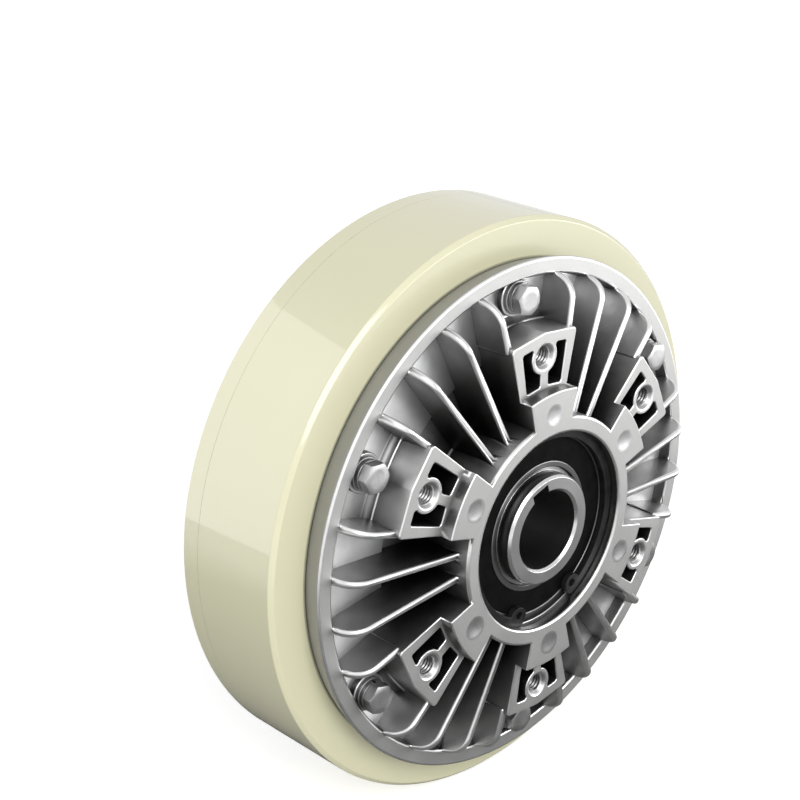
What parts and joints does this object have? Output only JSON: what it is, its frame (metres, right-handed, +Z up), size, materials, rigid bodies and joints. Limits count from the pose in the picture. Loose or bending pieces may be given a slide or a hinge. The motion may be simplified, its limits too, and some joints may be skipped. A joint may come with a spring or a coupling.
{
  "type": "magnetic powder brake",
  "caption": "Hollow-shaft magnetic powder brake: painted steel yoke ring, finned cast covers with threaded mounting pads, a through bore with a keyway on ball bearings.",
  "frame": {"origin": "on the shaft axis, half way through the painted yoke ring", "axes": "+Z up, shaft axis along Y, front cover facing -Y, +X to the right seen from the front"},
  "size_m": [0.219, 0.0998, 0.219],
  "materials": {
    "cream_paint": "gloss",
    "cast_aluminium": "satin cast",
    "zinc_plate": "bright zinc plate",
    "ground_steel": "ground",
    "ball_steel": "polished",
    "turned_steel": "turned",
    "black_steel": "black oxide",
    "brass": "machined",
    "copper_wire": "enamelled",
    "bobbin_plastic": "moulded",
    "iron_powder": "powder",
    "black_rubber": "moulded"
  },
  "bodies": {
    "housing": {"front_yoke": "cream_paint", "rear_yoke": "cream_paint", "pole_spacer_ring": "brass", "coil_bobbin": "bobbin_plastic", "coil_winding": "copper_wire", "powder_layer": "iron_powder", "front_cover": "cast_aluminium", "front_cover_bolts": "zinc_plate", "front_spring_washers": "zinc_plate", "front_flat_washers": "zinc_plate", "rear_cover": "cast_aluminium", "rear_cover_bolts": "zinc_plate", "rear_spring_washers": "zinc_plate", "rear_flat_washers": "zinc_plate", "front_bearing_outer_ring": "ground_steel", "front_bearing_seals": "black_rubber", "front_circlip": "black_steel", "front_powder_seal": "black_rubber", "rear_bearing_outer_ring": "ground_steel", "rear_bearing_seals": "black_rubber", "rear_circlip": "black_steel", "rear_powder_seal": "black_rubber", "lead_grommet": "black_rubber"},
    "rotor": {"hollow_shaft": "ground_steel", "rotor_drum": "turned_steel", "rotor_screws": "black_steel", "front_bearing_inner_ring": "ground_steel", "rear_bearing_inner_ring": "ground_steel"},
    "front_balls": {"front_bearing_balls": "ball_steel", "front_bearing_cage": "brass"},
    "rear_balls": {"rear_bearing_balls": "ball_steel", "rear_bearing_cage": "brass"}
  },
  "joints": [
    {"name": "shaft_spin", "type": "hinge", "parent": "housing", "child": "rotor", "pos_m": [0, 0, 0], "axis": [0, -1, 0], "continuous": true},
    {"name": "front_cage_spin", "type": "hinge", "parent": "housing", "child": "front_balls", "pos_m": [0, 0, 0], "axis": [0, -1, 0], "continuous": true},
    {"name": "rear_cage_spin", "type": "hinge", "parent": "housing", "child": "rear_balls", "pos_m": [0, 0, 0], "axis": [0, -1, 0], "continuous": true}
  ],
  "couplings": [
    {"joint": "front_cage_spin", "follows": "shaft_spin", "ratio": 0.425},
    {"joint": "rear_cage_spin", "follows": "shaft_spin", "ratio": 0.425}
  ]
}
